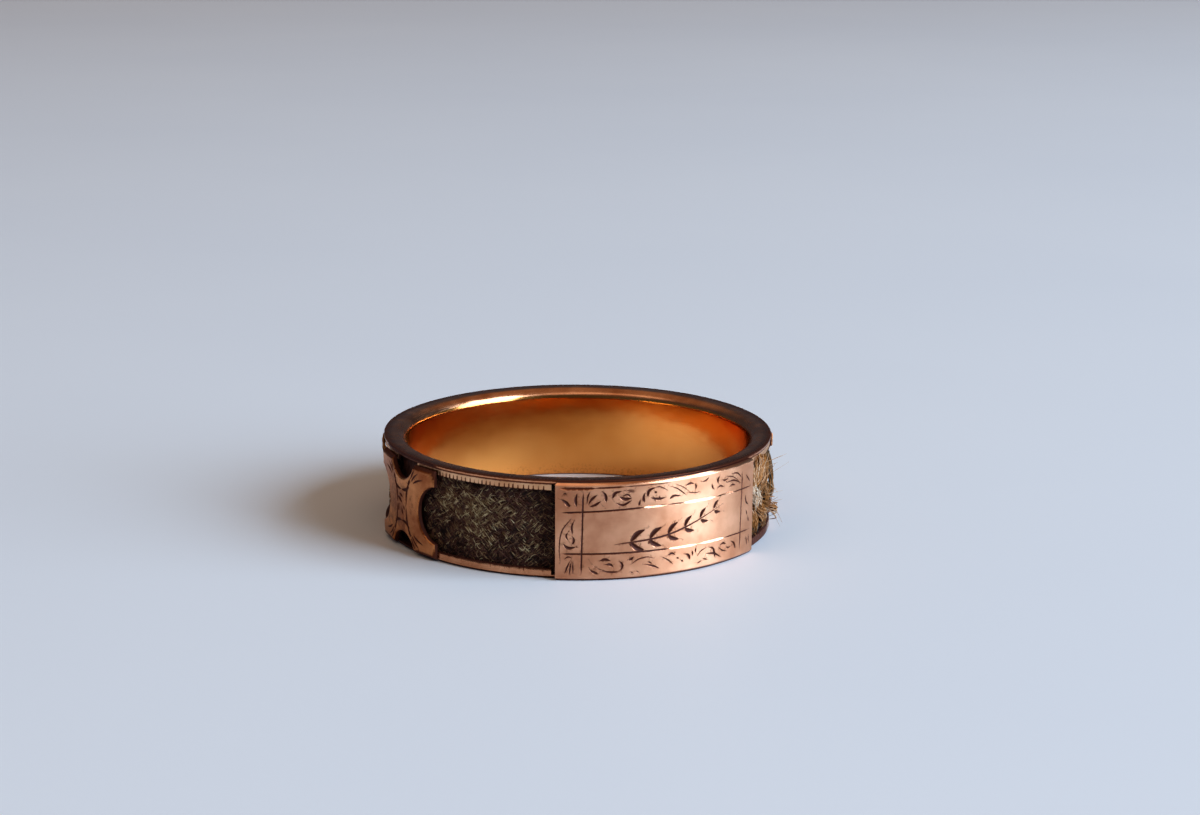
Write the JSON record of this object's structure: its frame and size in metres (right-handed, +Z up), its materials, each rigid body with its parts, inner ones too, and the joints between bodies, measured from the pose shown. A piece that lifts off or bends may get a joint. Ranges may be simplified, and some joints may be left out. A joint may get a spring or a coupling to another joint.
{
  "type": "mourning ring",
  "caption": "Rose gold hair band ring lying on its side, with woven hair in windows between an engraved plaque and small plates with concave sides.",
  "frame": {"origin": "on the ring's axis, on the surface that the ring lies on", "axes": "+Z up along the ring's axis, -Y outward through the middle of the engraved plaque, +X to the right of someone who looks at the plaque"},
  "size_m": [0.0206, 0.0203, 0.0049],
  "materials": {
    "band_gold": "worn rose gold, polished by wear inside and tarnished on the edges",
    "plaque_gold": "satin rose gold with bright and dark engraved cuts",
    "saddle_gold": "satin rose gold, tarnished in the cuts",
    "woven_hair": "woven hair, frayed on its face"
  },
  "bodies": {
    "root": {"band": "band_gold", "hair": "woven_hair", "plaque": "plaque_gold", "saddle_right": "saddle_gold", "saddle_back_right": "saddle_gold", "saddle_back_left": "saddle_gold", "saddle_left": "saddle_gold"}
  },
  "joints": []
}
